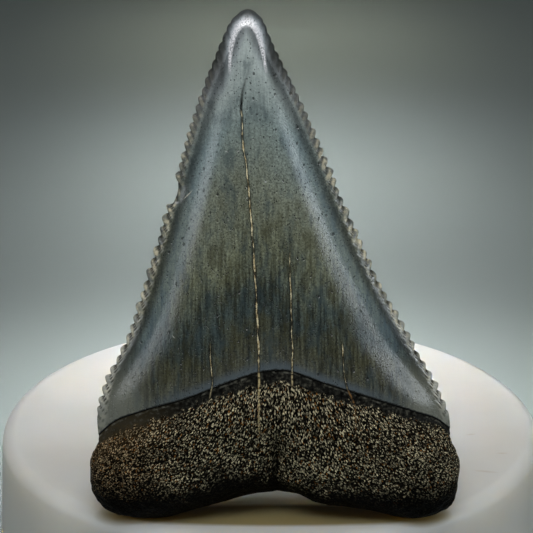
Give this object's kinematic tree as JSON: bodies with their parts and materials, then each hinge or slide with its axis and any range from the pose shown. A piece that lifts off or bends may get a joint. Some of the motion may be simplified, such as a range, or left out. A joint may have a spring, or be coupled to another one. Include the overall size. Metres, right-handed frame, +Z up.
{
  "type": "fossil shark tooth on a display stand",
  "caption": "Fossil great white shark tooth with serrated edges and a coarse two-lobed root, standing upright on a round white display stand.",
  "frame": {"origin": "middle of the stand's flat bottom face", "axes": "+Z up through the middle of the stand; the tooth's displayed (tongue side) face looks along -Y; +X to the viewer's right"},
  "size_m": [0.0712, 0.0712, 0.08],
  "materials": {
    "fossil_tooth": "glossy blue-grey fossil enamel above a satin black-brown mineralised root",
    "white_gloss_plastic": "semi-gloss, plain white"
  },
  "bodies": {
    "root": {"tooth": "fossil_tooth", "display_stand": "white_gloss_plastic"}
  },
  "joints": []
}
